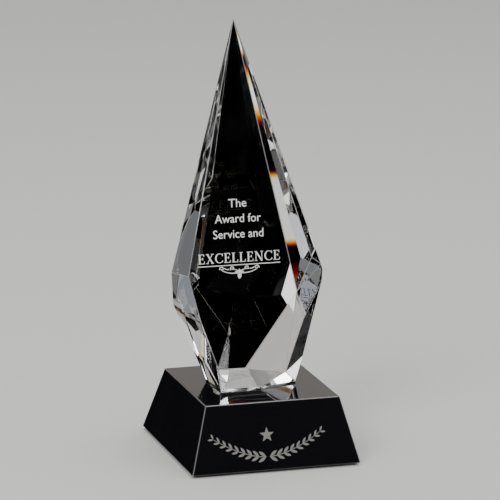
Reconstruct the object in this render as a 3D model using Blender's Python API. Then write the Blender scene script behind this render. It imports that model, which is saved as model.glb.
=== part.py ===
"""Faceted crystal award: a clear spire bonded to a black crystal block on four bumpers.

The frame's origin is under the middle of the block, on the surface that the award stands on.
+Z is up, and the wide front facet of the spire looks along -Y.
"""
import math

import bmesh
import bpy
from mathutils import Vector

# Driving dimensions, in metres.
BLOCK_BOTTOM_WIDTH = 0.1016  # the block is square, so this is its depth too
BLOCK_TOP_WIDTH = 0.0810
BLOCK_HEIGHT = 0.0381
BLOCK_CHAMFER = 0.0005
CRYSTAL_WIDTH = 0.0882
CRYSTAL_DEPTH = 0.0593
CRYSTAL_HEIGHT = 0.2135
BOND_THICKNESS = 0.0003
BOND_INSET = 0.0006  # the cured film stops this far inside the outline of the crystal's foot
BUMPER_DIAMETER = 0.0127
BUMPER_HEIGHT = 0.0012
BUMPER_DRAFT = 0.0005  # how much smaller the bumper's radius is where it meets the table
BUMPER_ROUND = 0.0003
BUMPER_INSET = 0.0140  # from a side of the block's underside to a bumper's centre
FIT_GAP = 0.0003  # clearance left wherever two pieces rest on each other

# Heights of the stack, from the table up.
BLOCK_BOTTOM_Z = BUMPER_HEIGHT + FIT_GAP
BLOCK_TOP_Z = BLOCK_BOTTOM_Z + BLOCK_HEIGHT
BOND_Z = BLOCK_TOP_Z + FIT_GAP
CRYSTAL_FOOT_Z = BOND_Z + BOND_THICKNESS + FIT_GAP

# Two planes closer than this at a shared corner are cut through the same point.
CORNER_SNAP = 2e-6
ROUND_SEGMENTS = 48
RIM_SEGMENTS = 3

# Corners of the crystal as shares of its width, depth and height, measured from the middle
# of the block and from the foot. Left and right are as seen from the front.
CORNERS = {
    "tip": (-0.132, 0.166, 1.000),
    "left_shoulder": (-0.492, -0.223, 0.321),
    "left_waist": (-0.420, -0.291, 0.200),
    "left_rear_shoulder": (-0.508, 0.257, 0.299),
    "left_rear_waist": (-0.461, 0.420, 0.199),
    "right_shoulder": (0.248, -0.255, 0.264),
    "right_crest": (0.379, -0.109, 0.346),
    "right_peak": (0.455, -0.068, 0.322),
    "right_hip": (0.464, -0.070, 0.275),
    "right_rear_hip": (0.481, -0.012, 0.302),
    "right_waist": (0.307, -0.223, 0.183),
    "right_knee": (0.327, -0.136, 0.071),
    "ankle": (0.165, -0.330, 0.045),
    "chin": (-0.126, -0.369, 0.065),
    "toe_left": (-0.260, -0.236, 0.000),
    "toe_front": (0.017, -0.240, 0.000),
    "toe_right": (0.279, -0.134, 0.000),
    "rear_right_peak": (0.492, 0.225, 0.327),
    "rear_right_shoulder": (0.326, 0.567, 0.299),
    "rear_right_hip": (0.460, 0.355, 0.284),
    "rear_right_knee": (0.355, 0.462, 0.133),
    "rear_left_shoulder": (-0.314, 0.598, 0.246),
    "heel_left": (-0.283, 0.146, 0.000),
    "heel_rear_left": (-0.168, 0.214, 0.000),
    "heel_rear_right": (0.247, 0.171, 0.000),
    "heel_right": (0.272, 0.137, 0.000),
}

# Each facet is the flat that passes through three corners.
FACETS = {
    "front": ("tip", "left_shoulder", "right_shoulder"),
    "front_right_bevel": ("tip", "right_shoulder", "right_crest"),
    "right_front_bevel": ("tip", "right_crest", "right_peak"),
    "right": ("tip", "right_peak", "rear_right_peak"),
    "rear_right_bevel": ("tip", "rear_right_peak", "rear_right_shoulder"),
    "rear": ("tip", "rear_right_shoulder", "rear_left_shoulder"),
    "rear_left_bevel": ("tip", "left_rear_shoulder", "left_rear_waist"),
    "left": ("tip", "left_rear_shoulder", "left_shoulder"),
    "left_waist": ("left_shoulder", "left_waist", "left_rear_waist"),
    "left_skirt": ("left_waist", "left_rear_waist", "toe_left"),
    "crest": ("right_shoulder", "right_crest", "right_peak"),
    "right_kite": ("right_shoulder", "right_peak", "right_hip"),
    "right_sliver": ("right_peak", "right_hip", "right_rear_hip"),
    "right_blade": ("right_shoulder", "right_waist", "ankle"),
    "right_skirt": ("right_hip", "right_knee", "ankle"),
    "right_heel": ("ankle", "right_knee", "toe_right"),
    "right_flank": ("right_hip", "toe_right", "rear_right_knee"),
    "front_skirt": ("right_shoulder", "chin", "ankle"),
    "chin": ("toe_left", "toe_front", "ankle"),
    "toe": ("toe_front", "toe_right", "ankle"),
    "rear_left_skirt": ("left_rear_waist", "heel_left", "heel_rear_left"),
    "rear_skirt": ("heel_rear_left", "heel_rear_right", "rear_right_knee"),
    "rear_right_heel": ("heel_rear_right", "heel_right", "rear_right_knee"),
    "rear_right_hip": ("rear_right_shoulder", "rear_right_hip", "rear_right_knee"),
}

# A point well inside the crystal, in the same shares as the corners.
HEART = (0.0, 0.10, 0.25)


def clear_scene():
    """Start from an empty scene."""
    for item in list(bpy.data.objects):
        bpy.data.objects.remove(item, do_unlink=True)


def surface(name, colour, roughness, transmission=0.0, ior=1.5):
    """Principled material for one piece."""
    material = bpy.data.materials.new(name)
    material.use_nodes = True
    shader = material.node_tree.nodes["Principled BSDF"]
    shader.inputs["Base Color"].default_value = (*colour, 1.0)
    shader.inputs["Roughness"].default_value = roughness
    shader.inputs["Metallic"].default_value = 0.0
    shader.inputs["Transmission Weight"].default_value = transmission
    shader.inputs["IOR"].default_value = ior
    return material


def mesh_from(bm, name, material):
    """Turn a finished bmesh into a mesh with one material."""
    bmesh.ops.recalc_face_normals(bm, faces=bm.faces)
    mesh = bpy.data.meshes.new(name)
    bm.to_mesh(mesh)
    bm.free()
    mesh.materials.append(material)
    return mesh


def place(name, mesh, location, parent):
    """Add one named piece at its place in the award."""
    piece = bpy.data.objects.new(name, mesh)
    piece.location = location
    piece.parent = parent
    bpy.context.scene.collection.objects.link(piece)
    return piece


def from_shares(shares):
    """Point of the crystal from its shares of the width, depth and height."""
    return Vector((
        shares[0] * CRYSTAL_WIDTH,
        shares[1] * CRYSTAL_DEPTH,
        shares[2] * CRYSTAL_HEIGHT,
    ))


def grind(bm, point, normal):
    """Grind one flat facet: remove what lies beyond the plane and close the cut."""
    geometry = bm.verts[:] + bm.edges[:] + bm.faces[:]
    cut = bmesh.ops.bisect_plane(
        bm,
        geom=geometry,
        dist=CORNER_SNAP,
        plane_co=point,
        plane_no=normal,
        clear_outer=True,
    )
    rim = [edge for edge in cut["geom_cut"] if isinstance(edge, bmesh.types.BMEdge) and edge.is_boundary]
    bmesh.ops.edgeloop_fill(bm, edges=rim)


def crystal_blank(bm):
    """Rough block, a little larger than the finished crystal and standing on its foot plane."""
    bmesh.ops.create_cube(bm, size=1.0)
    for vertex in bm.verts:
        vertex.co.x *= 2.0 * CRYSTAL_WIDTH
        vertex.co.y *= 2.0 * CRYSTAL_DEPTH
        vertex.co.z = (vertex.co.z + 0.5) * 1.1 * CRYSTAL_HEIGHT


def crystal_mesh(material):
    """Spire cut from a rough block, facet by facet."""
    bm = bmesh.new()
    crystal_blank(bm)
    heart = from_shares(HEART)
    for first, second, third in FACETS.values():
        corner = from_shares(CORNERS[first])
        along = from_shares(CORNERS[second]) - corner
        across = from_shares(CORNERS[third]) - corner
        outward = along.cross(across).normalized()
        if outward.dot(heart - corner) > 0.0:
            outward.negate()
        grind(bm, corner, outward)
    bmesh.ops.remove_doubles(bm, verts=bm.verts, dist=CORNER_SNAP)
    return mesh_from(bm, "crystal_spire", material)


def foot_outline(crystal):
    """Corners of the crystal's flat foot, in order."""
    foot = min(crystal.polygons, key=lambda polygon: polygon.normal.z)
    return [crystal.vertices[index].co.copy() for index in foot.vertices]


def bond_mesh(crystal, material):
    """Thin cured film under the crystal's foot, just inside its outline."""
    bm = bmesh.new()
    face = bm.faces.new([bm.verts.new(corner) for corner in foot_outline(crystal)])
    border = bmesh.ops.inset_region(bm, faces=[face], thickness=BOND_INSET, use_even_offset=True)
    bmesh.ops.delete(bm, geom=border["faces"], context="FACES")
    grown = bmesh.ops.extrude_face_region(bm, geom=bm.faces[:])
    top = [item for item in grown["geom"] if isinstance(item, bmesh.types.BMVert)]
    bmesh.ops.translate(bm, verts=top, vec=(0.0, 0.0, BOND_THICKNESS))
    return mesh_from(bm, "bond_film", material)


def block_mesh(material):
    """Square block with sloping sides, standing on z = 0."""
    bm = bmesh.new()
    bmesh.ops.create_cube(bm, size=1.0)
    for vertex in bm.verts:
        on_top = vertex.co.z > 0.0
        width = BLOCK_TOP_WIDTH if on_top else BLOCK_BOTTOM_WIDTH
        vertex.co.x *= width
        vertex.co.y *= width
        vertex.co.z = BLOCK_HEIGHT if on_top else 0.0
    return mesh_from(bm, "base_block", material)


def bumper_mesh(material):
    """Small round self-adhesive bumper, standing on z = 0."""
    bm = bmesh.new()
    bmesh.ops.create_cone(
        bm,
        cap_ends=True,
        segments=ROUND_SEGMENTS,
        radius1=BUMPER_DIAMETER / 2 - BUMPER_DRAFT,
        radius2=BUMPER_DIAMETER / 2,
        depth=BUMPER_HEIGHT,
    )
    bmesh.ops.translate(bm, verts=bm.verts, vec=(0.0, 0.0, BUMPER_HEIGHT / 2))
    mesh = mesh_from(bm, "bumper", material)
    mesh.shade_smooth()
    mesh.set_sharp_from_angle(angle=math.radians(40))
    return mesh


def soften_edges(piece, width, segments):
    """Bevel the sharp edges of a piece."""
    bevel = piece.modifiers.new("Edges", "BEVEL")
    bevel.width = width
    bevel.segments = segments
    bevel.limit_method = "ANGLE"
    bevel.angle_limit = math.radians(40)


def build():
    """Make every piece of the award."""
    clear_scene()
    award = bpy.data.objects.new("award", None)
    bpy.context.scene.collection.objects.link(award)

    clear_crystal = surface("clear_crystal", (0.95, 0.97, 0.98), 0.02, transmission=1.0, ior=1.52)
    black_crystal = surface("black_crystal", (0.008, 0.008, 0.010), 0.04)
    cured_adhesive = surface("cured_adhesive", (0.90, 0.92, 0.92), 0.10, transmission=1.0, ior=1.50)
    soft_rubber = surface("soft_rubber", (0.045, 0.045, 0.048), 0.60)

    spire = crystal_mesh(clear_crystal)
    place("crystal_spire", spire, (0.0, 0.0, CRYSTAL_FOOT_Z), award)
    place("bond_film", bond_mesh(spire, cured_adhesive), (0.0, 0.0, BOND_Z), award)

    block = place("base_block", block_mesh(black_crystal), (0.0, 0.0, BLOCK_BOTTOM_Z), award)
    soften_edges(block, BLOCK_CHAMFER, 1)

    bumper = bumper_mesh(soft_rubber)
    reach = BLOCK_BOTTOM_WIDTH / 2 - BUMPER_INSET
    for end, y in (("front", -reach), ("rear", reach)):
        for side, x in (("left", -reach), ("right", reach)):
            foot = place(f"bumper_{end}_{side}", bumper, (x, y, 0.0), award)
            soften_edges(foot, BUMPER_ROUND, RIM_SEGMENTS)


build()
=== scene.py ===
import math

import bmesh
import bpy
from bpy.props import FloatProperty, FloatVectorProperty, IntProperty, PointerProperty, StringProperty
from mathutils import Matrix, Vector


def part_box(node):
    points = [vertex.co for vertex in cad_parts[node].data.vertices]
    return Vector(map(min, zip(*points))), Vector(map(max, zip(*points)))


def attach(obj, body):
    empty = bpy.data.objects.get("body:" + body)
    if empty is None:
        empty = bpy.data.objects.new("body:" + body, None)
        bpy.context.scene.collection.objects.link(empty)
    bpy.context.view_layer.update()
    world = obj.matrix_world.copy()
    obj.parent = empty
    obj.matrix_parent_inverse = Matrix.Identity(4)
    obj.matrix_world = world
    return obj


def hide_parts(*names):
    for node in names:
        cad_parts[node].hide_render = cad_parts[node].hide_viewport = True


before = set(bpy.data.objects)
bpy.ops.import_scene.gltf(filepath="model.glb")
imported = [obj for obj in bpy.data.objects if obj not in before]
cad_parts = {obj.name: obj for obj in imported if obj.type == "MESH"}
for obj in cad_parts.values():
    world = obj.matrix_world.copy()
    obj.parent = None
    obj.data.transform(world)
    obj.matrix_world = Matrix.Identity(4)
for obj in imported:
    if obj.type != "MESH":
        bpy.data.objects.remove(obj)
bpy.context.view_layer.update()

bl_info = {
    "name": "Crystal award",
    "version": (1, 0, 0),
    "blender": (4, 5, 0),
    "location": "3D View > Sidebar > Award",
    "description": "Finishes a faceted crystal award: cut spire, black block, inscription and ornament",
    "category": "Object",
}

BLOCK_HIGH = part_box("base_block")[1]
SPIRE_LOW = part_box("crystal_spire")[0]
ROOT = "root"

MERGE = 1e-5
FLAT_ANGLE = math.radians(0.5)
MILLIMETRE = 0.001
BACK_EDGE = 0.15  # width of the polished flats at the back, as a share of those at the front


# ---------------------------------------------------------------- settings

class SpireSettings(bpy.types.PropertyGroup):
    """Sizes and optics of the clear spire."""
    edge_width: FloatProperty(
        name="Edge flat", description="Width of the narrow flat ground along each edge",
        default=0.00055, min=0.0, subtype="DISTANCE", unit="LENGTH")
    refraction: FloatProperty(
        name="Refraction", description="Index of refraction of the crystal", default=1.52, min=1.0, max=2.4)
    colour: FloatVectorProperty(
        name="Colour", description="Tint of the crystal", subtype="COLOR", size=3,
        default=(0.985, 0.99, 0.995), min=0.0, max=1.0)


class BlockSettings(bpy.types.PropertyGroup):
    """Finish of the black block and its bumpers."""
    colour: FloatVectorProperty(
        name="Colour", description="Colour of the black crystal", subtype="COLOR", size=3,
        default=(0.004, 0.004, 0.005), min=0.0, max=1.0)
    edge_colour: FloatVectorProperty(
        name="Edge colour", description="Colour of the fine-ground edges", subtype="COLOR", size=3,
        default=(0.13, 0.127, 0.124), min=0.0, max=1.0)
    rubber: FloatVectorProperty(
        name="Rubber", description="Colour of the bumpers", subtype="COLOR", size=3,
        default=(0.03, 0.03, 0.032), min=0.0, max=1.0)


class InscriptionSettings(bpy.types.PropertyGroup):
    """Words and sizes of the etched inscription."""
    centre_x: FloatProperty(
        name="Centre", description="Sideways place of the inscription's middle",
        default=-0.0126, subtype="DISTANCE", unit="LENGTH")
    depth: FloatProperty(
        name="Depth", description="Depth of the frosted letters in the crystal",
        default=0.00014, subtype="DISTANCE", unit="LENGTH")
    words: StringProperty(
        name="Words", description="Lines of the inscription, divided by a slash",
        default="The/Award for/Service and/EXCELLENCE")


class OrnamentSettings(bpy.types.PropertyGroup):
    """Laurel and star engraved on the front of the block."""
    pairs: IntProperty(name="Pairs", description="Pairs of leaves on each branch", default=9, min=2)
    leaf_length: FloatProperty(
        name="Leaf length", description="Length of the leaves nearest the middle", default=0.0052,
        subtype="DISTANCE", unit="LENGTH")
    line: FloatProperty(
        name="Line", description="Width of an engraved line", default=0.00045,
        subtype="DISTANCE", unit="LENGTH")
    depth: FloatProperty(
        name="Depth", description="Thickness of the engraved skin", default=0.00012,
        subtype="DISTANCE", unit="LENGTH")


class StageSettings(bpy.types.PropertyGroup):
    """Floor, light and camera."""
    floor_size: FloatProperty(
        name="Floor", description="Width of the floor", default=16.0, subtype="DISTANCE", unit="LENGTH")
    floor_colour: FloatVectorProperty(
        name="Floor colour", description="Colour of the floor", subtype="COLOR", size=3,
        default=(0.60, 0.60, 0.59), min=0.0, max=1.0)
    azimuth: FloatProperty(
        name="Azimuth", description="Direction of the camera round the award, from its front",
        default=math.radians(-18.33), subtype="ANGLE", unit="ROTATION")
    elevation: FloatProperty(
        name="Elevation", description="Height of the camera above the horizon",
        default=math.radians(14.0), subtype="ANGLE", unit="ROTATION")
    roll: FloatProperty(
        name="Roll", description="Turn of the camera about its line of sight",
        default=math.radians(1.08), subtype="ANGLE", unit="ROTATION")
    distance: FloatProperty(
        name="Distance", description="From the camera to the point that it looks at",
        default=2.0238, subtype="DISTANCE", unit="LENGTH")
    target_height: FloatProperty(
        name="Target height", description="Height of the point that the camera looks at",
        default=0.1230, subtype="DISTANCE", unit="LENGTH")


# ---------------------------------------------------------------- materials

def new_material(name):
    """Empty Principled material: returns it, its node tree and its shader."""
    material = bpy.data.materials.new(name)
    material.use_nodes = True
    tree = material.node_tree
    return material, tree, tree.nodes["Principled BSDF"]


def object_noise(tree, scale, detail=3.0):
    """Noise on object coordinates."""
    place = tree.nodes.new("ShaderNodeTexCoord")
    noise = tree.nodes.new("ShaderNodeTexNoise")
    noise.inputs["Scale"].default_value = scale
    noise.inputs["Detail"].default_value = detail
    tree.links.new(place.outputs["Object"], noise.inputs["Vector"])
    return noise


def spread(tree, value, low, high):
    """Map a noise value to a range."""
    node = tree.nodes.new("ShaderNodeMapRange")
    node.inputs["From Min"].default_value = 0.3
    node.inputs["From Max"].default_value = 0.7
    node.inputs["To Min"].default_value = low
    node.inputs["To Max"].default_value = high
    tree.links.new(value, node.inputs["Value"])
    return node.outputs["Result"]


def bump(tree, height, strength, distance):
    """Bump from a height value."""
    node = tree.nodes.new("ShaderNodeBump")
    node.inputs["Strength"].default_value = strength
    node.inputs["Distance"].default_value = distance
    tree.links.new(height, node.inputs["Height"])
    return node.outputs["Normal"]


def tinted(tree, value, dark, light):
    """Colour between two tints, by a value."""
    mix = tree.nodes.new("ShaderNodeMix")
    mix.data_type = "RGBA"
    tree.links.new(value, mix.inputs["Factor"])
    mix.inputs["A"].default_value = (*dark, 1.0)
    mix.inputs["B"].default_value = (*light, 1.0)
    return mix.outputs["Result"]


def polished_crystal(settings):
    """Clear polished crystal whose tint varies faintly through the melt."""
    material, tree, shader = new_material("polished_crystal")
    shader.inputs["Roughness"].default_value = 0.0
    shader.inputs["Transmission Weight"].default_value = 1.0
    shader.inputs["IOR"].default_value = settings.refraction
    cloud = object_noise(tree, 30.0)
    dark = tuple(0.985 * part for part in settings.colour)
    tree.links.new(tinted(tree, cloud.outputs["Fac"], dark, tuple(settings.colour)),
                   shader.inputs["Base Color"])
    return material


def ground_edge(settings):
    """Fine-ground flat along the edges of the clear spire."""
    material, tree, shader = new_material("ground_crystal_edge")
    shader.inputs["Transmission Weight"].default_value = 0.75
    shader.inputs["IOR"].default_value = settings.refraction
    grain = object_noise(tree, 6000.0)
    tree.links.new(tinted(tree, grain.outputs["Fac"], (0.80, 0.80, 0.81), (0.95, 0.95, 0.96)),
                   shader.inputs["Base Color"])
    tree.links.new(spread(tree, grain.outputs["Fac"], 0.22, 0.34), shader.inputs["Roughness"])
    return material


def clear_adhesive():
    """Clear cured adhesive with faint streaks."""
    material, tree, shader = new_material("clear_adhesive")
    shader.inputs["Transmission Weight"].default_value = 1.0
    shader.inputs["IOR"].default_value = 1.5
    streak = object_noise(tree, 120.0)
    tree.links.new(tinted(tree, streak.outputs["Fac"], (0.90, 0.92, 0.92), (0.97, 0.98, 0.98)),
                   shader.inputs["Base Color"])
    tree.links.new(spread(tree, streak.outputs["Fac"], 0.01, 0.06), shader.inputs["Roughness"])
    return material


def black_crystal(settings):
    """Polished black crystal with faint handling marks in its gloss."""
    material, tree, shader = new_material("polished_black_crystal")
    shader.inputs["IOR"].default_value = 1.52
    cloud = object_noise(tree, 18.0)
    deep = tuple(settings.colour)
    light = tuple(min(1.0, 1.6 * part) for part in settings.colour)
    tree.links.new(tinted(tree, cloud.outputs["Fac"], deep, light), shader.inputs["Base Color"])
    smear = object_noise(tree, 55.0, 6.0)
    tree.links.new(spread(tree, smear.outputs["Fac"], 0.015, 0.05), shader.inputs["Roughness"])
    return material


def ground_black_edge(settings):
    """Fine-ground edge of the black block, which dries light grey."""
    material, tree, shader = new_material("ground_black_edge")
    grain = object_noise(tree, 5000.0)
    dark = tuple(0.8 * part for part in settings.edge_colour)
    tree.links.new(tinted(tree, grain.outputs["Fac"], dark, tuple(settings.edge_colour)),
                   shader.inputs["Base Color"])
    tree.links.new(spread(tree, grain.outputs["Fac"], 0.22, 0.38), shader.inputs["Roughness"])
    tree.links.new(bump(tree, grain.outputs["Fac"], 0.25, 0.00005), shader.inputs["Normal"])
    return material


def soft_rubber(settings):
    """Matte moulded rubber."""
    material, tree, shader = new_material("moulded_rubber")
    grain = object_noise(tree, 2200.0, 5.0)
    light = tuple(1.7 * part for part in settings.rubber)
    tree.links.new(tinted(tree, grain.outputs["Fac"], tuple(settings.rubber), light),
                   shader.inputs["Base Color"])
    tree.links.new(spread(tree, grain.outputs["Fac"], 0.5, 0.75), shader.inputs["Roughness"])
    tree.links.new(bump(tree, grain.outputs["Fac"], 0.4, 0.0001), shader.inputs["Normal"])
    return material


def frosted(name, dark, light):
    """Etched, frosted crystal: white and grainy."""
    material, tree, shader = new_material(name)
    grain = object_noise(tree, 4500.0, 4.0)
    tree.links.new(tinted(tree, grain.outputs["Fac"], dark, light), shader.inputs["Base Color"])
    tree.links.new(spread(tree, grain.outputs["Fac"], 0.55, 0.85), shader.inputs["Roughness"])
    tree.links.new(bump(tree, grain.outputs["Fac"], 0.3, 0.00004), shader.inputs["Normal"])
    return material


# ---------------------------------------------------------------- shapes

def merged_copy(node):
    """Closed copy of a CAD node, with each flat as one face."""
    bm = bmesh.new()
    bm.from_mesh(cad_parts[node].data)
    bmesh.ops.remove_doubles(bm, verts=bm.verts, dist=MERGE)
    bmesh.ops.dissolve_limit(bm, angle_limit=FLAT_ANGLE, verts=bm.verts, edges=bm.edges)
    bmesh.ops.recalc_face_normals(bm, faces=bm.faces)
    for face in bm.faces:
        face.material_index = 0
        face.smooth = False
    return bm


def ease_edges(bm, width):
    """Take a narrow flat off every edge of a convex solid: ground (material 1) except at the back."""
    flats = []
    for edge in bm.edges:
        first, second = edge.link_faces
        outward = (first.normal + second.normal).normalized()
        behind = outward.y > 0.3
        depth = 0.5 * width * math.tan(0.5 * first.normal.angle(second.normal))
        if behind:
            depth *= BACK_EDGE
        flats.append((edge.verts[0].co - outward * depth, outward, 0 if behind else 1))
    for point, outward, finish in flats:
        geometry = bm.verts[:] + bm.edges[:] + bm.faces[:]
        cut = bmesh.ops.bisect_plane(
            bm, geom=geometry, dist=1e-7, plane_co=point, plane_no=outward, clear_outer=True)
        rim = [item for item in cut["geom_cut"] if isinstance(item, bmesh.types.BMEdge)]
        rim = [edge for edge in rim if edge.is_boundary]
        if rim:
            for face in bmesh.ops.edgeloop_fill(bm, edges=rim)["faces"]:
                face.material_index = finish
    bmesh.ops.recalc_face_normals(bm, faces=bm.faces)


def add_piece(name, mesh, materials, replaces=()):
    """Add a finished piece of the award."""
    for material in materials:
        mesh.materials.append(material)
    piece = bpy.data.objects.new(name, mesh)
    bpy.context.scene.collection.objects.link(piece)
    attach(piece, ROOT)
    if replaces:
        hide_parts(*replaces)
    return piece


def mesh_of(bm, name):
    """Turn a bmesh into a mesh."""
    mesh = bpy.data.meshes.new(name)
    bm.to_mesh(mesh)
    bm.free()
    return mesh


def facet_frame(node, facing):
    """Place on a node's flat that faces most nearly one way: x level, y up the slope, z out of it."""
    bm = merged_copy(node)
    face = max(bm.faces, key=lambda item: item.normal.dot(facing) * (item.calc_area() > 4e-4))
    out = face.normal.copy()
    point = face.calc_center_median()
    bm.free()
    level = Vector((0.0, 0.0, 1.0)).cross(out).normalized()
    up = out.cross(level)
    origin = point - up * (point.z / up.z)
    origin -= level * origin.dot(level)
    return Matrix((
        (level.x, up.x, out.x, origin.x),
        (level.y, up.y, out.y, origin.y),
        (level.z, up.z, out.z, origin.z),
        (0.0, 0.0, 0.0, 1.0),
    ))


def ribbon(bm, points, widths, low, high):
    """Closed flat ribbon along points, from one depth to another."""
    rings = []
    for index, point in enumerate(points):
        before = points[max(index - 1, 0)]
        after = points[min(index + 1, len(points) - 1)]
        along = (after - before).normalized()
        side = Vector((-along.y, along.x)) * (0.5 * widths[index])
        left, right = point + side, point - side
        rings.append([
            bm.verts.new((right.x, right.y, low)), bm.verts.new((left.x, left.y, low)),
            bm.verts.new((left.x, left.y, high)), bm.verts.new((right.x, right.y, high)),
        ])
    for near, far in zip(rings, rings[1:]):
        for corner in range(4):
            other = (corner + 1) % 4
            bm.faces.new((near[corner], near[other], far[other], far[corner]))
    bm.faces.new(rings[0][::-1])
    bm.faces.new(rings[-1])


def plate(bm, outline, low, high):
    """Closed flat plate with a given outline, from one depth to another."""
    floor = [bm.verts.new((point.x, point.y, low)) for point in outline]
    roof = [bm.verts.new((point.x, point.y, high)) for point in outline]
    bm.faces.new(floor[::-1])
    bm.faces.new(roof)
    for index in range(len(outline)):
        other = (index + 1) % len(outline)
        bm.faces.new((floor[index], floor[other], roof[other], roof[index]))


def spiral(centre, inner, outer, start, turns):
    """Points of a spiral that opens from one radius to another; angles in turns."""
    steps = max(6, round(28 * abs(turns)))
    points = []
    for index in range(steps + 1):
        share = index / steps
        angle = 2.0 * math.pi * (start + turns * share)
        radius = inner + (outer - inner) * share
        points.append(Vector((centre[0] + radius * math.cos(angle), centre[1] + radius * math.sin(angle))))
    return points


def bend(first, second, rise, steps=12):
    """Points of a shallow bow from one place to another."""
    start, end = Vector(first), Vector(second)
    points = []
    for index in range(steps + 1):
        share = index / steps
        point = start.lerp(end, share)
        point.y += 4.0 * rise * share * (1.0 - share)
        points.append(point)
    return points


def taper(points, start, end):
    """Widths that change evenly along points."""
    last = len(points) - 1
    return [start + (end - start) * index / last for index in range(last + 1)]


def petal(bm, root, angle, length, width, low, high):
    """Pointed petal as a closed plate; the angle is in turns."""
    along = Vector((math.cos(2.0 * math.pi * angle), math.sin(2.0 * math.pi * angle)))
    side = Vector((-along.y, along.x))
    outline = []
    for index in range(16):
        turn = 2.0 * math.pi * index / 16
        reach = 0.5 * length * (1.0 - math.cos(turn))
        spread_out = -0.5 * width * math.sin(turn) * abs(math.sin(turn))
        outline.append(Vector(root) + along * reach + side * spread_out)
    plate(bm, outline[::-1] if cross_sum(outline) < 0.0 else outline, low, high)


def cross_sum(outline):
    """Twice the signed area of an outline."""
    total = 0.0
    for first, second in zip(outline, outline[1:] + outline[:1]):
        total += first.x * second.y - second.x * first.y
    return total


# ---------------------------------------------------------------- spire and bond

class AWARD_OT_spire(bpy.types.Operator):
    """Cut and polish the clear spire"""
    bl_idname = "award.spire"
    bl_label = "Spire"

    def execute(self, context):
        settings = context.scene.award_spire
        bm = merged_copy("crystal_spire")
        ease_edges(bm, settings.edge_width)
        if any(not edge.is_manifold for edge in bm.edges):
            raise RuntimeError("the spire is not closed")
        add_piece("spire", mesh_of(bm, "spire"), [polished_crystal(settings), ground_edge(settings)],
                  ["crystal_spire"])
        return {"FINISHED"}


class AWARD_OT_bond(bpy.types.Operator):
    """Wet both faces of the joint with clear adhesive"""
    bl_idname = "award.bond"
    bl_label = "Bond"

    def execute(self, context):
        bm = merged_copy("bond_film")
        wetting = 0.05 * MILLIMETRE
        middle = 0.5 * (BLOCK_HIGH.z + SPIRE_LOW.z)
        for vertex in bm.verts:
            if vertex.co.z < middle:
                vertex.co.z = BLOCK_HIGH.z - wetting
            else:
                vertex.co.z = SPIRE_LOW.z + wetting
        add_piece("adhesive_bond", mesh_of(bm, "adhesive_bond"), [clear_adhesive()],
                  ["bond_film"])
        return {"FINISHED"}


# ---------------------------------------------------------------- block and bumpers

class AWARD_OT_block(bpy.types.Operator):
    """Polish the black block and grind its edges"""
    bl_idname = "award.block"
    bl_label = "Block"

    def execute(self, context):
        settings = context.scene.award_block
        bm = merged_copy("base_block")
        narrow = 0.001  # square metres: the six polished faces are all larger than this
        for face in bm.faces:
            face.material_index = 0 if face.calc_area() > narrow else 1
        add_piece("block", mesh_of(bm, "block"), [black_crystal(settings), ground_black_edge(settings)],
                  ["base_block"])
        return {"FINISHED"}


class AWARD_OT_bumpers(bpy.types.Operator):
    """Give the bumpers their rubber"""
    bl_idname = "award.bumpers"
    bl_label = "Bumpers"

    def execute(self, context):
        rubber = soft_rubber(context.scene.award_block)
        for name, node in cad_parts.items():
            if name.startswith("bumper_"):
                node.data.materials.clear()
                node.data.materials.append(rubber)
        return {"FINISHED"}


# ---------------------------------------------------------------- inscription

# Middle height above the table, width and letter height of each line, in metres.
LINES = (
    (0.1495, 0.0108, 0.0051),
    (0.1408, 0.0277, 0.0051),
    (0.1320, 0.0302, 0.0051),
    (0.1184, 0.0491, 0.0056),
)
RULE_HEIGHT = 0.1141
RULE_LENGTH = 0.0497
RULE_WIDTH = 0.00042
SCROLL_DROP = 0.0017

# Serif capitals as straight strokes in a cell of height 1: start, end and width.
THICK = 0.14
THIN = 0.055
CAPITALS = {
    "E": (
        ((0.16, 0.0), (0.16, 1.0), THICK),
        ((0.0, 0.03), (0.62, 0.03), THIN), ((0.0, 0.97), (0.58, 0.97), THIN),
        ((0.16, 0.52), (0.46, 0.52), THIN), ((0.59, 0.0), (0.63, 0.27), THIN),
        ((0.55, 1.0), (0.58, 0.76), THIN), ((0.46, 0.40), (0.46, 0.64), THIN),
    ),
    "L": (
        ((0.16, 0.0), (0.16, 1.0), THICK),
        ((0.0, 0.03), (0.60, 0.03), THIN), ((0.0, 0.97), (0.34, 0.97), THIN),
        ((0.57, 0.0), (0.61, 0.28), THIN),
    ),
    "N": (
        ((0.14, 0.0), (0.14, 1.0), THIN), ((0.13, 1.0), (0.74, 0.0), THICK),
        ((0.74, 0.0), (0.74, 1.0), THIN), ((0.0, 0.97), (0.20, 0.97), THIN),
        ((0.0, 0.03), (0.28, 0.03), THIN), ((0.60, 0.97), (0.88, 0.97), THIN),
    ),
    "X": (
        ((0.13, 1.0), (0.67, 0.0), THICK), ((0.13, 0.0), (0.67, 1.0), THIN),
        ((0.0, 0.97), (0.28, 0.97), THIN), ((0.52, 0.97), (0.80, 0.97), THIN),
        ((0.0, 0.03), (0.28, 0.03), THIN), ((0.52, 0.03), (0.80, 0.03), THIN),
    ),
    "C": (
        ((0.71, 0.70), (0.71, 0.98), THIN), ((0.71, 0.08), (0.73, 0.26), THIN),
    ),
}


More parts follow.
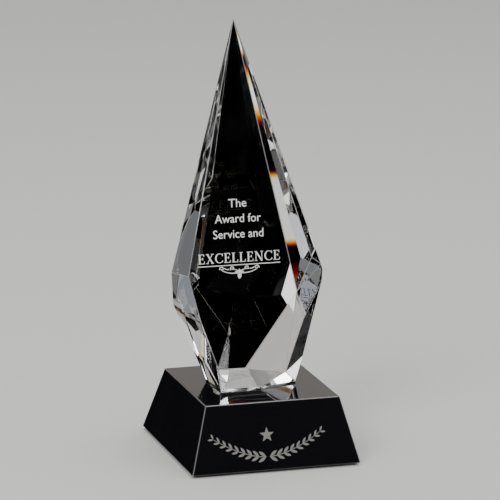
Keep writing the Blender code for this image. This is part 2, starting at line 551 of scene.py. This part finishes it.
class AWARD_OT_inscription(bpy.types.Operator):
    """Etch the inscription, its rule and its scroll in the front facet"""
    bl_idname = "award.inscription"
    bl_label = "Inscription"

    def execute(self, context):
        settings = context.scene.award_inscription
        facet = facet_frame("crystal_spire", Vector((0.0, -1.0, 0.15)))
        frost = frosted("etched_frost", (0.80, 0.80, 0.79), (0.96, 0.96, 0.95))
        rise = facet.col[1].z
        for index, (words, (height, width, tall)) in enumerate(zip(settings.words.split("/"), LINES)):
            if set(words) <= set(CAPITALS):
                mesh = self.capitals(words, width, tall)
            else:
                mesh = self.lettering(words, width, tall)
            self.etch(mesh, f"inscription_line_{index + 1}", frost, facet, height / rise, settings)
        rule = bmesh.new()
        ends = [Vector((-0.5 * RULE_LENGTH, 0.0)), Vector((0.5 * RULE_LENGTH, 0.0))]
        ribbon(rule, ends, [RULE_WIDTH, RULE_WIDTH], 0.0, 1.0)
        self.etch(mesh_of(rule, "rule"), "inscription_rule", frost, facet, RULE_HEIGHT / rise, settings)
        place = (RULE_HEIGHT - SCROLL_DROP) / rise
        self.etch(self.scroll(), "inscription_scroll", frost, facet, place, settings)
        return {"FINISHED"}

    def etch(self, mesh, name, frost, facet, height, settings):
        """Place a drawing one unit deep so that it crosses the crystal's surface."""
        mesh.transform(Matrix.Diagonal((1.0, 1.0, settings.depth, 1.0)))
        mesh.transform(Matrix.Translation((settings.centre_x, height, -0.85 * settings.depth)))
        mesh.transform(facet)
        add_piece(name, mesh, [frost])

    def lettering(self, words, width, tall):
        """One line of plain letters, centred, as a closed mesh."""
        curve = bpy.data.curves.new("letters", "FONT")
        curve.body = words
        curve.extrude = 0.5
        curve.resolution_u = 4
        curve.align_x = "CENTER"
        holder = bpy.data.objects.new("letters", curve)
        bpy.context.scene.collection.objects.link(holder)
        bpy.context.view_layer.update()
        drawn = holder.evaluated_get(bpy.context.evaluated_depsgraph_get())
        mesh = bpy.data.meshes.new_from_object(drawn)
        bpy.data.objects.remove(holder)
        wide = [vertex.co.x for vertex in mesh.vertices]
        cap = 0.729
        middle = 0.5 * (max(wide) + min(wide))
        mesh.transform(Matrix.Translation((-middle, -0.5 * cap, 0.5)))
        mesh.transform(Matrix.Diagonal((width / (max(wide) - min(wide)), tall / cap, 1.0, 1.0)))
        mesh.materials.clear()
        return mesh

    def capitals(self, words, width, tall):
        """One line of serif capitals, centred, as closed strokes."""
        bm = bmesh.new()
        edge = 0.0
        for letter in words:
            strokes = CAPITALS[letter]
            for start, end, line in strokes:
                points = [Vector((edge + start[0], start[1])), Vector((edge + end[0], end[1]))]
                ribbon(bm, points, [line, line], 0.0, 1.0)
            if letter == "C":
                self.bowl(bm, edge)
            edge += max(end[0] for start, end, line in strokes) + 0.15
        edge -= 0.15
        mesh = mesh_of(bm, "capitals")
        mesh.transform(Matrix.Translation((-0.5 * edge, -0.5, 0.0)))
        mesh.transform(Matrix.Diagonal((width / edge, tall, 1.0, 1.0)))
        return mesh

    def bowl(self, bm, edge):
        """Round stroke of the C, thickest at its left."""
        points, widths = [], []
        for index in range(25):
            angle = math.radians(42.0 + 276.0 * index / 24)
            points.append(Vector((edge + 0.42 + 0.38 * math.cos(angle), 0.5 + 0.47 * math.sin(angle))))
            widths.append(THIN + (THICK - THIN) * max(0.0, -math.cos(angle)) ** 1.5)
        ribbon(bm, points, widths, 0.0, 1.0)

    def scroll(self):
        """Symmetrical scroll with a drop at its middle, drawn in millimetres."""
        bm = bmesh.new()
        for side in (-1.0, 1.0):
            lines = (
                (spiral((10.6, -0.2), 0.35, 1.35, 0.1, -1.15), 0.30, 0.50),
                (bend((0.3, -2.7), (10.4, -1.2), -0.9), 0.55, 0.35),
                (spiral((4.6, -0.2), 0.30, 1.25, 0.4, 1.2), 0.30, 0.50),
                (bend((0.3, -1.9), (5.6, -0.9), 0.55), 0.40, 0.35),
                (bend((6.2, -0.6), (9.4, 0.4), -0.5), 0.50, 0.30),
            )
            for points, start, end in lines:
                placed = [Vector((side * point.x, point.y)) for point in points]
                if side < 0.0:
                    placed.reverse()
                    start, end = end, start
                ribbon(bm, placed, taper(placed, start, end), 0.0, 1.0)
            petal(bm, (side * 0.1, -3.1), 0.25 - side * 0.19, 2.7, 1.7, 0.0, 1.0)
        petal(bm, (0.0, -2.5), 0.75, 3.9, 2.3, 0.0, 1.0)
        petal(bm, (0.0, -3.3), 0.25, 2.8, 1.3, 0.0, 1.0)
        mesh = mesh_of(bm, "scroll")
        mesh.transform(Matrix.Diagonal((MILLIMETRE, MILLIMETRE, 1.0, 1.0)))
        return mesh


# ---------------------------------------------------------------- ornament

# Places on the block's front in millimetres: across from its middle and up its slope.
LAUREL_MIDDLE = (-5.0, 9.5)
LAUREL_REACH = (31.0, 12.0)
STAR_CENTRE = (-5.0, 22.0)
STAR_SIZE = 9.0


class AWARD_OT_ornament(bpy.types.Operator):
    """Engrave a laurel and a star on the front of the block"""
    bl_idname = "award.ornament"
    bl_label = "Ornament"

    def execute(self, context):
        settings = context.scene.award_ornament
        face = facet_frame("base_block", Vector((0.0, -1.0, 0.27)))
        grey = frosted("engraved_grey", (0.17, 0.165, 0.16), (0.26, 0.255, 0.245))
        leaves = self.tree(grey)
        for name, side in (("laurel_left", -1.0), ("laurel_right", 1.0)):
            self.engrave(self.leaves(leaves, settings, side), name + "_leaves", grey, face, settings)
            stem = bmesh.new()
            points = self.stem(side)
            ribbon(stem, points, taper(points, 1.3 * settings.line, 0.7 * settings.line), 0.0, 1.0)
            self.engrave(mesh_of(stem, name), name + "_stem", grey, face, settings)
        self.engrave(self.star(), "laurel_star", grey, face, settings)
        return {"FINISHED"}

    def engrave(self, mesh, name, grey, face, settings):
        """Place a drawing one unit deep so that it crosses the block's surface."""
        mesh.transform(Matrix.Diagonal((1.0, 1.0, settings.depth, 1.0)))
        mesh.transform(Matrix.Translation((0.0, 0.0, -0.7 * settings.depth)))
        mesh.transform(face)
        mesh.materials.clear()
        add_piece(name, mesh, [grey])

    def stem(self, side):
        """Points of one branch, from the middle outwards and up, in metres."""
        points = []
        for index in range(17):
            share = index / 16
            across = LAUREL_MIDDLE[0] + side * (1.0 + LAUREL_REACH[0] * share)
            up = LAUREL_MIDDLE[1] + LAUREL_REACH[1] * share ** 1.7
            points.append(Vector((across, up)) * MILLIMETRE)
        return points

    def leaves(self, tree, settings, side):
        """Leaves of one branch, made plain from the node tree."""
        points = self.stem(side)
        line = bpy.data.meshes.new("branch")
        line.from_pydata([(point.x, point.y, 0.5) for point in points],
                         [(index, index + 1) for index in range(len(points) - 1)], [])
        holder = bpy.data.objects.new("branch", line)
        bpy.context.scene.collection.objects.link(holder)
        modifier = holder.modifiers.new("leaves", "NODES")
        modifier.node_group = tree
        sizes = {"Pairs": settings.pairs, "Leaf Length": settings.leaf_length}
        for item in tree.interface.items_tree:
            if item.name in sizes:
                modifier[item.identifier] = sizes[item.name]
        bpy.context.view_layer.update()
        drawn = holder.evaluated_get(bpy.context.evaluated_depsgraph_get())
        mesh = bpy.data.meshes.new_from_object(drawn)
        bpy.data.objects.remove(holder)
        if not mesh.polygons:
            raise RuntimeError("the laurel has no leaves")
        return mesh

    def tree(self, material):
        """Node tree: pointed leaves in pairs along a stem, smaller towards its tip."""
        tree = bpy.data.node_groups.new("laurel_leaves", "GeometryNodeTree")
        sockets = tree.interface.new_socket
        sockets("Geometry", in_out="INPUT", socket_type="NodeSocketGeometry")
        sockets("Pairs", in_out="INPUT", socket_type="NodeSocketInt")
        sockets("Leaf Length", in_out="INPUT", socket_type="NodeSocketFloat")
        sockets("Geometry", in_out="OUTPUT", socket_type="NodeSocketGeometry")
        node, link = tree.nodes.new, tree.links.new
        given = node("NodeGroupInput")
        curve = node("GeometryNodeMeshToCurve")
        link(given.outputs["Geometry"], curve.inputs["Mesh"])
        places = node("GeometryNodeCurveToPoints")
        places.mode = "COUNT"
        link(curve.outputs["Curve"], places.inputs["Curve"])
        link(given.outputs["Pairs"], places.inputs["Count"])
        align = node("FunctionNodeAlignRotationToVector")
        align.axis = "X"
        align.pivot_axis = "Z"
        link(places.outputs["Tangent"], align.inputs["Vector"])
        leaf = self.leaf(tree, given.outputs["Leaf Length"])
        shrink = node("ShaderNodeMapRange")
        shrink.inputs["To Min"].default_value = 1.0
        shrink.inputs["To Max"].default_value = 0.6
        link(node("GeometryNodeInputIndex").outputs["Index"], shrink.inputs["Value"])
        link(given.outputs["Pairs"], shrink.inputs["From Max"])
        gather = node("GeometryNodeJoinGeometry")
        for angle in (math.radians(34.0), math.radians(-34.0)):
            turn = node("FunctionNodeRotateRotation")
            turn.rotation_space = "LOCAL"
            turn.inputs["Rotate By"].default_value = (0.0, 0.0, angle)
            link(align.outputs["Rotation"], turn.inputs["Rotation"])
            stand = node("GeometryNodeInstanceOnPoints")
            link(places.outputs["Points"], stand.inputs["Points"])
            link(leaf, stand.inputs["Instance"])
            link(turn.outputs["Rotation"], stand.inputs["Rotation"])
            link(shrink.outputs["Result"], stand.inputs["Scale"])
            link(stand.outputs["Instances"], gather.inputs["Geometry"])
        solid = node("GeometryNodeRealizeInstances")
        link(gather.outputs["Geometry"], solid.inputs["Geometry"])
        paint = node("GeometryNodeSetMaterial")
        paint.inputs["Material"].default_value = material
        link(solid.outputs["Geometry"], paint.inputs["Geometry"])
        link(paint.outputs["Geometry"], node("NodeGroupOutput").inputs["Geometry"])
        return tree

    def leaf(self, tree, length):
        """Pointed leaf one unit deep, with its root at the origin."""
        node, link = tree.nodes.new, tree.links.new
        disc = node("GeometryNodeMeshCylinder")
        disc.inputs["Vertices"].default_value = 20
        disc.inputs["Radius"].default_value = 1.0
        disc.inputs["Depth"].default_value = 1.0
        parts = node("ShaderNodeSeparateXYZ")
        link(node("GeometryNodeInputPosition").outputs["Position"], parts.inputs[0])
        size = node("ShaderNodeMath")
        size.operation = "ABSOLUTE"
        link(parts.outputs["Y"], size.inputs[0])
        pinch = node("ShaderNodeMath")
        pinch.operation = "MULTIPLY"
        link(parts.outputs["Y"], pinch.inputs[0])
        link(size.outputs[0], pinch.inputs[1])
        joined = node("ShaderNodeCombineXYZ")
        link(parts.outputs["X"], joined.inputs["X"])
        link(pinch.outputs[0], joined.inputs["Y"])
        link(parts.outputs["Z"], joined.inputs["Z"])
        shape = node("GeometryNodeSetPosition")
        link(disc.outputs["Mesh"], shape.inputs["Geometry"])
        link(joined.outputs[0], shape.inputs["Position"])
        forward = node("GeometryNodeTransform")
        forward.inputs["Translation"].default_value = (1.15, 0.0, 0.0)
        link(shape.outputs["Geometry"], forward.inputs["Geometry"])
        scale = node("ShaderNodeCombineXYZ")
        for socket, share in (("X", 0.5), ("Y", 0.17)):
            part = node("ShaderNodeMath")
            part.operation = "MULTIPLY"
            part.inputs[1].default_value = share
            link(length, part.inputs[0])
            link(part.outputs[0], scale.inputs[socket])
        scale.inputs["Z"].default_value = 1.0
        sized = node("GeometryNodeTransform")
        link(forward.outputs["Geometry"], sized.inputs["Geometry"])
        link(scale.outputs[0], sized.inputs["Scale"])
        return sized.outputs["Geometry"]

    def star(self):
        """Five-pointed star."""
        outline = []
        for index in range(10):
            angle = math.radians(90.0 + 36.0 * index)
            radius = 0.5 * STAR_SIZE * (1.0 if index % 2 == 0 else 0.42)
            across = STAR_CENTRE[0] + radius * math.cos(angle)
            up = STAR_CENTRE[1] + radius * math.sin(angle)
            outline.append(Vector((across, up)) * MILLIMETRE)
        bm = bmesh.new()
        plate(bm, outline, 0.0, 1.0)
        return mesh_of(bm, "star")


# ---------------------------------------------------------------- stage

# Soft panels of light round the award: azimuth, elevation, half width, half height and softness of
# the rim in degrees, colour and strength. Azimuth 0 is in front of the award and 90 on its right.
PANELS = (
    (171.0, 8.0, 15.0, 8.95, 0.5, (1.0, 0.95, 0.90), 0.62),
    (168.0, 25.5, 12.0, 5.5, 1.0, (1.0, 0.97, 0.94), 0.30),
    (197.0, 14.5, 2.5, 3.0, 0.5, (1.0, 0.99, 0.97), 2.4),
    (194.0, -15.5, 5.0, 5.5, 0.5, (1.0, 1.0, 1.0), 1.6),
    (179.0, -34.0, 6.0, 4.5, 1.0, (1.0, 0.98, 0.95), 0.9),
    (179.0, -27.3, 6.0, 0.55, 0.15, (1.0, 0.98, 0.95), 0.9),
    (179.0, -25.15, 6.0, 0.12, 0.4, (1.0, 1.0, 1.0), 1.4),
    (179.0, -24.2, 6.0, 0.1, 0.15, (1.0, 1.0, 1.0), 2.5),
    (140.0, 27.0, 6.0, 6.0, 2.0, (0.84, 0.88, 1.0), 0.42),
    (96.0, -42.0, 8.0, 7.0, 2.0, (1.0, 1.0, 1.0), 0.3),
    (67.0, 30.0, 8.0, 14.0, 1.0, (1.0, 0.98, 0.95), 1.5),
    (71.0, 6.0, 5.0, 6.0, 1.0, (0.95, 0.97, 1.0), 0.9),
    (42.0, -25.0, 22.0, 8.0, 1.0, (0.93, 0.96, 1.0), 0.22),
    (51.0, -38.0, 5.0, 3.5, 1.0, (1.0, 1.0, 1.0), 1.6),
    (12.0, -6.5, 10.0, 5.0, 1.0, (0.85, 0.92, 1.0), 0.5),
    (2.0, 11.0, 6.0, 12.0, 1.0, (1.0, 0.97, 0.92), 0.6),
    (-44.0, 41.0, 8.0, 8.0, 1.0, (1.0, 0.98, 0.95), 0.7),
    (-72.0, 20.0, 10.0, 22.0, 1.0, (0.95, 0.97, 1.0), 0.9),
    (-124.0, 8.0, 8.0, 15.0, 1.0, (1.0, 0.98, 0.95), 0.4),
    (0.0, 58.0, 180.0, 8.0, 1.0, (1.0, 1.0, 1.0), 0.9),
    (90.0, 73.0, 25.0, 6.0, 1.0, (1.0, 1.0, 1.0), 0.9),
)


class AWARD_OT_stage(bpy.types.Operator):
    """Set out the floor, the lights and the camera"""
    bl_idname = "award.stage"
    bl_label = "Stage"

    def execute(self, context):
        settings = context.scene.award_stage
        self.floor(settings)
        self.surroundings()
        self.lamps()
        self.camera(settings)
        cycles = context.scene.cycles
        cycles.max_bounces = 32
        cycles.glossy_bounces = 32
        cycles.transmission_bounces = 32
        return {"FINISHED"}

    def floor(self, settings):
        """Plain pale floor. Only the camera and soft light see it, as with a black card under the set."""
        bm = bmesh.new()
        bmesh.ops.create_circle(bm, cap_ends=True, segments=96, radius=0.5 * settings.floor_size)
        floor = bpy.data.objects.new("floor", mesh_of(bm, "floor"))
        material, tree, shader = new_material("pale_floor")
        grain = object_noise(tree, 300.0)
        dark = tuple(0.97 * part for part in settings.floor_colour)
        tree.links.new(tinted(tree, grain.outputs["Fac"], dark, tuple(settings.floor_colour)),
                       shader.inputs["Base Color"])
        shader.inputs["Roughness"].default_value = 0.8
        shader.inputs["Specular IOR Level"].default_value = 0.2
        floor.data.materials.append(material)
        floor.visible_transmission = False
        floor.visible_glossy = False
        bpy.context.scene.collection.objects.link(floor)

    def surroundings(self):
        """Dark room with soft panels, seen only in the gloss and through the crystal."""
        world = bpy.data.worlds.new("studio")
        bpy.context.scene.world = world
        world.use_nodes = True
        tree = world.node_tree
        tree.nodes.clear()
        node = tree.nodes.new
        link = tree.links.new
        place = node("ShaderNodeTexCoord")
        parts = node("ShaderNodeSeparateXYZ")
        link(place.outputs["Generated"], parts.inputs[0])
        back = self.calculate(tree, "MULTIPLY", parts.outputs["Y"], -1.0)
        azimuth = self.calculate(tree, "ARCTAN2", parts.outputs["X"], back)
        elevation = self.calculate(tree, "ARCSINE", parts.outputs["Z"], 0.0)
        total = None
        for panel in PANELS:
            light = self.panel(tree, azimuth, elevation, *panel)
            total = light if total is None else self.add(tree, total, light)
        paths = node("ShaderNodeLightPath")
        seen, soft = paths.outputs["Is Camera Ray"], paths.outputs["Is Diffuse Ray"]
        plain = self.calculate(tree, "MAXIMUM", seen, soft)
        choice = node("ShaderNodeMix")
        choice.data_type = "RGBA"
        link(plain, choice.inputs["Factor"])
        link(total, choice.inputs["A"])
        choice.inputs["B"].default_value = (0.62, 0.62, 0.62, 1.0)
        background = node("ShaderNodeBackground")
        link(choice.outputs["Result"], background.inputs["Color"])
        output = node("ShaderNodeOutputWorld")
        link(background.outputs["Background"], output.inputs["Surface"])

    def calculate(self, tree, operation, first, second):
        """One sum on sockets or numbers."""
        node = tree.nodes.new("ShaderNodeMath")
        node.operation = operation
        for socket, value in zip(node.inputs, (first, second)):
            if isinstance(value, float):
                socket.default_value = value
            else:
                tree.links.new(value, socket)
        return node.outputs[0]

    def add(self, tree, first, second):
        """Sum of two colours."""
        node = tree.nodes.new("ShaderNodeVectorMath")
        node.operation = "ADD"
        tree.links.new(first, node.inputs[0])
        tree.links.new(second, node.inputs[1])
        return node.outputs[0]

    def panel(self, tree, azimuth, elevation, centre, height, half_width, half_height, soft, colour,
              strength):
        """Light of one soft panel, whose rim splits a little into colours as crystal splits it."""
        aside = self.calculate(tree, "SUBTRACT", azimuth, math.radians(centre))
        wrap = tree.nodes.new("ShaderNodeMath")
        wrap.operation = "WRAP"
        tree.links.new(aside, wrap.inputs[0])
        wrap.inputs[1].default_value = math.pi
        wrap.inputs[2].default_value = -math.pi
        aside = self.calculate(tree, "ABSOLUTE", wrap.outputs[0], 0.0)
        above = self.calculate(tree, "SUBTRACT", elevation, math.radians(height))
        above = self.calculate(tree, "ABSOLUTE", above, 0.0)
        fringe = math.radians(0.25 * soft)
        rim = math.radians(soft)
        colours = tree.nodes.new("ShaderNodeCombineXYZ")
        for index, step in enumerate((fringe, 0.0, -fringe)):
            masks = []
            for value, half in ((aside, half_width), (above, half_height)):
                ramp = tree.nodes.new("ShaderNodeMapRange")
                ramp.interpolation_type = "SMOOTHSTEP"
                ramp.inputs["From Min"].default_value = math.radians(half) + step
                ramp.inputs["From Max"].default_value = math.radians(half) + step + rim
                ramp.inputs["To Min"].default_value = 1.0
                ramp.inputs["To Max"].default_value = 0.0
                tree.links.new(value, ramp.inputs["Value"])
                masks.append(ramp.outputs["Result"])
            mask = self.calculate(tree, "MULTIPLY", *masks)
            mask = self.calculate(tree, "MULTIPLY", mask, colour[index] * strength)
            tree.links.new(mask, colours.inputs[index])
        return colours.outputs[0]

    def lamps(self):
        """Key and overhead softboxes."""
        self.softbox("key_light", (-1.2, -1.1, 1.3), 0.9, 22.0, (1.0, 0.99, 0.97))
        self.softbox("top_light", (0.3, 0.2, 1.9), 1.2, 20.0, (1.0, 1.0, 1.0))

    def softbox(self, name, place, size, power, colour):
        """Square area light aimed at the award."""
        data = bpy.data.lights.new(name, "AREA")
        data.size = size
        data.energy = power
        data.color = colour
        lamp = bpy.data.objects.new(name, data)
        aim = Vector((0.0, 0.0, 0.12)) - Vector(place)
        lamp.rotation_euler = aim.to_track_quat("-Z", "Y").to_euler()
        lamp.location = place
        bpy.context.scene.collection.objects.link(lamp)

    def camera(self, settings):
        """Camera with a long lens, turned to the award's left front corner."""
        azimuth, elevation = settings.azimuth, settings.elevation
        back = Vector((
            math.sin(azimuth) * math.cos(elevation),
            -math.cos(azimuth) * math.cos(elevation),
            math.sin(elevation),
        ))
        right = Vector((0.0, 0.0, 1.0)).cross(back).normalized()
        up = back.cross(right)
        turn_cos, turn_sin = math.cos(settings.roll), math.sin(settings.roll)
        rolled_right = right * turn_cos + up * turn_sin
        rolled_up = up * turn_cos - right * turn_sin
        place = Vector((0.0, 0.0, settings.target_height)) + back * settings.distance
        data = bpy.data.cameras.new("camera")
        data.sensor_width = 36.0
        data.lens = 252.0
        data.shift_x = -0.0074
        data.shift_y = -0.0134
        data.clip_end = 60.0
        camera = bpy.data.objects.new("camera", data)
        camera.matrix_world = Matrix((
            (rolled_right.x, rolled_up.x, back.x, place.x),
            (rolled_right.y, rolled_up.y, back.y, place.y),
            (rolled_right.z, rolled_up.z, back.z, place.z),
            (0.0, 0.0, 0.0, 1.0),
        ))
        bpy.context.scene.collection.objects.link(camera)
        bpy.context.scene.camera = camera


# ---------------------------------------------------------------- add-on

class AWARD_PT_panel(bpy.types.Panel):
    """Buttons that build the award, in order"""
    bl_idname = "AWARD_PT_panel"
    bl_label = "Crystal award"
    bl_space_type = "VIEW_3D"
    bl_region_type = "UI"
    bl_category = "Award"

    def draw(self, context):
        for group, operators in STEPS:
            box = self.layout.box()
            settings = getattr(context.scene, group)
            for name in settings.__annotations__:
                box.prop(settings, name)
            for operator in operators:
                box.operator(operator.bl_idname)


SETTINGS = {
    "award_stage": StageSettings,
    "award_spire": SpireSettings,
    "award_block": BlockSettings,
    "award_inscription": InscriptionSettings,
    "award_ornament": OrnamentSettings,
}
STEPS = (
    ("award_stage", (AWARD_OT_stage,)),
    ("award_spire", (AWARD_OT_spire, AWARD_OT_bond)),
    ("award_block", (AWARD_OT_block, AWARD_OT_bumpers)),
    ("award_inscription", (AWARD_OT_inscription,)),
    ("award_ornament", (AWARD_OT_ornament,)),
)
CLASSES = (
    *SETTINGS.values(),
    AWARD_OT_stage,
    AWARD_OT_spire,
    AWARD_OT_bond,
    AWARD_OT_block,
    AWARD_OT_bumpers,
    AWARD_OT_inscription,
    AWARD_OT_ornament,
    AWARD_PT_panel,
)


def register():
    """Register the add-on."""
    for item in CLASSES:
        bpy.utils.register_class(item)
    for name, settings in SETTINGS.items():
        setattr(bpy.types.Scene, name, PointerProperty(type=settings))


def unregister():
    """Unregister the add-on."""
    for name in SETTINGS:
        delattr(bpy.types.Scene, name)
    for item in reversed(CLASSES):
        bpy.utils.unregister_class(item)


def main():
    """Build the award and its stage."""
    register()
    bpy.ops.award.stage()
    bpy.ops.award.spire()
    bpy.ops.award.bond()
    bpy.ops.award.block()
    bpy.ops.award.bumpers()
    bpy.ops.award.inscription()
    bpy.ops.award.ornament()


if __name__ == "__main__":
    main()
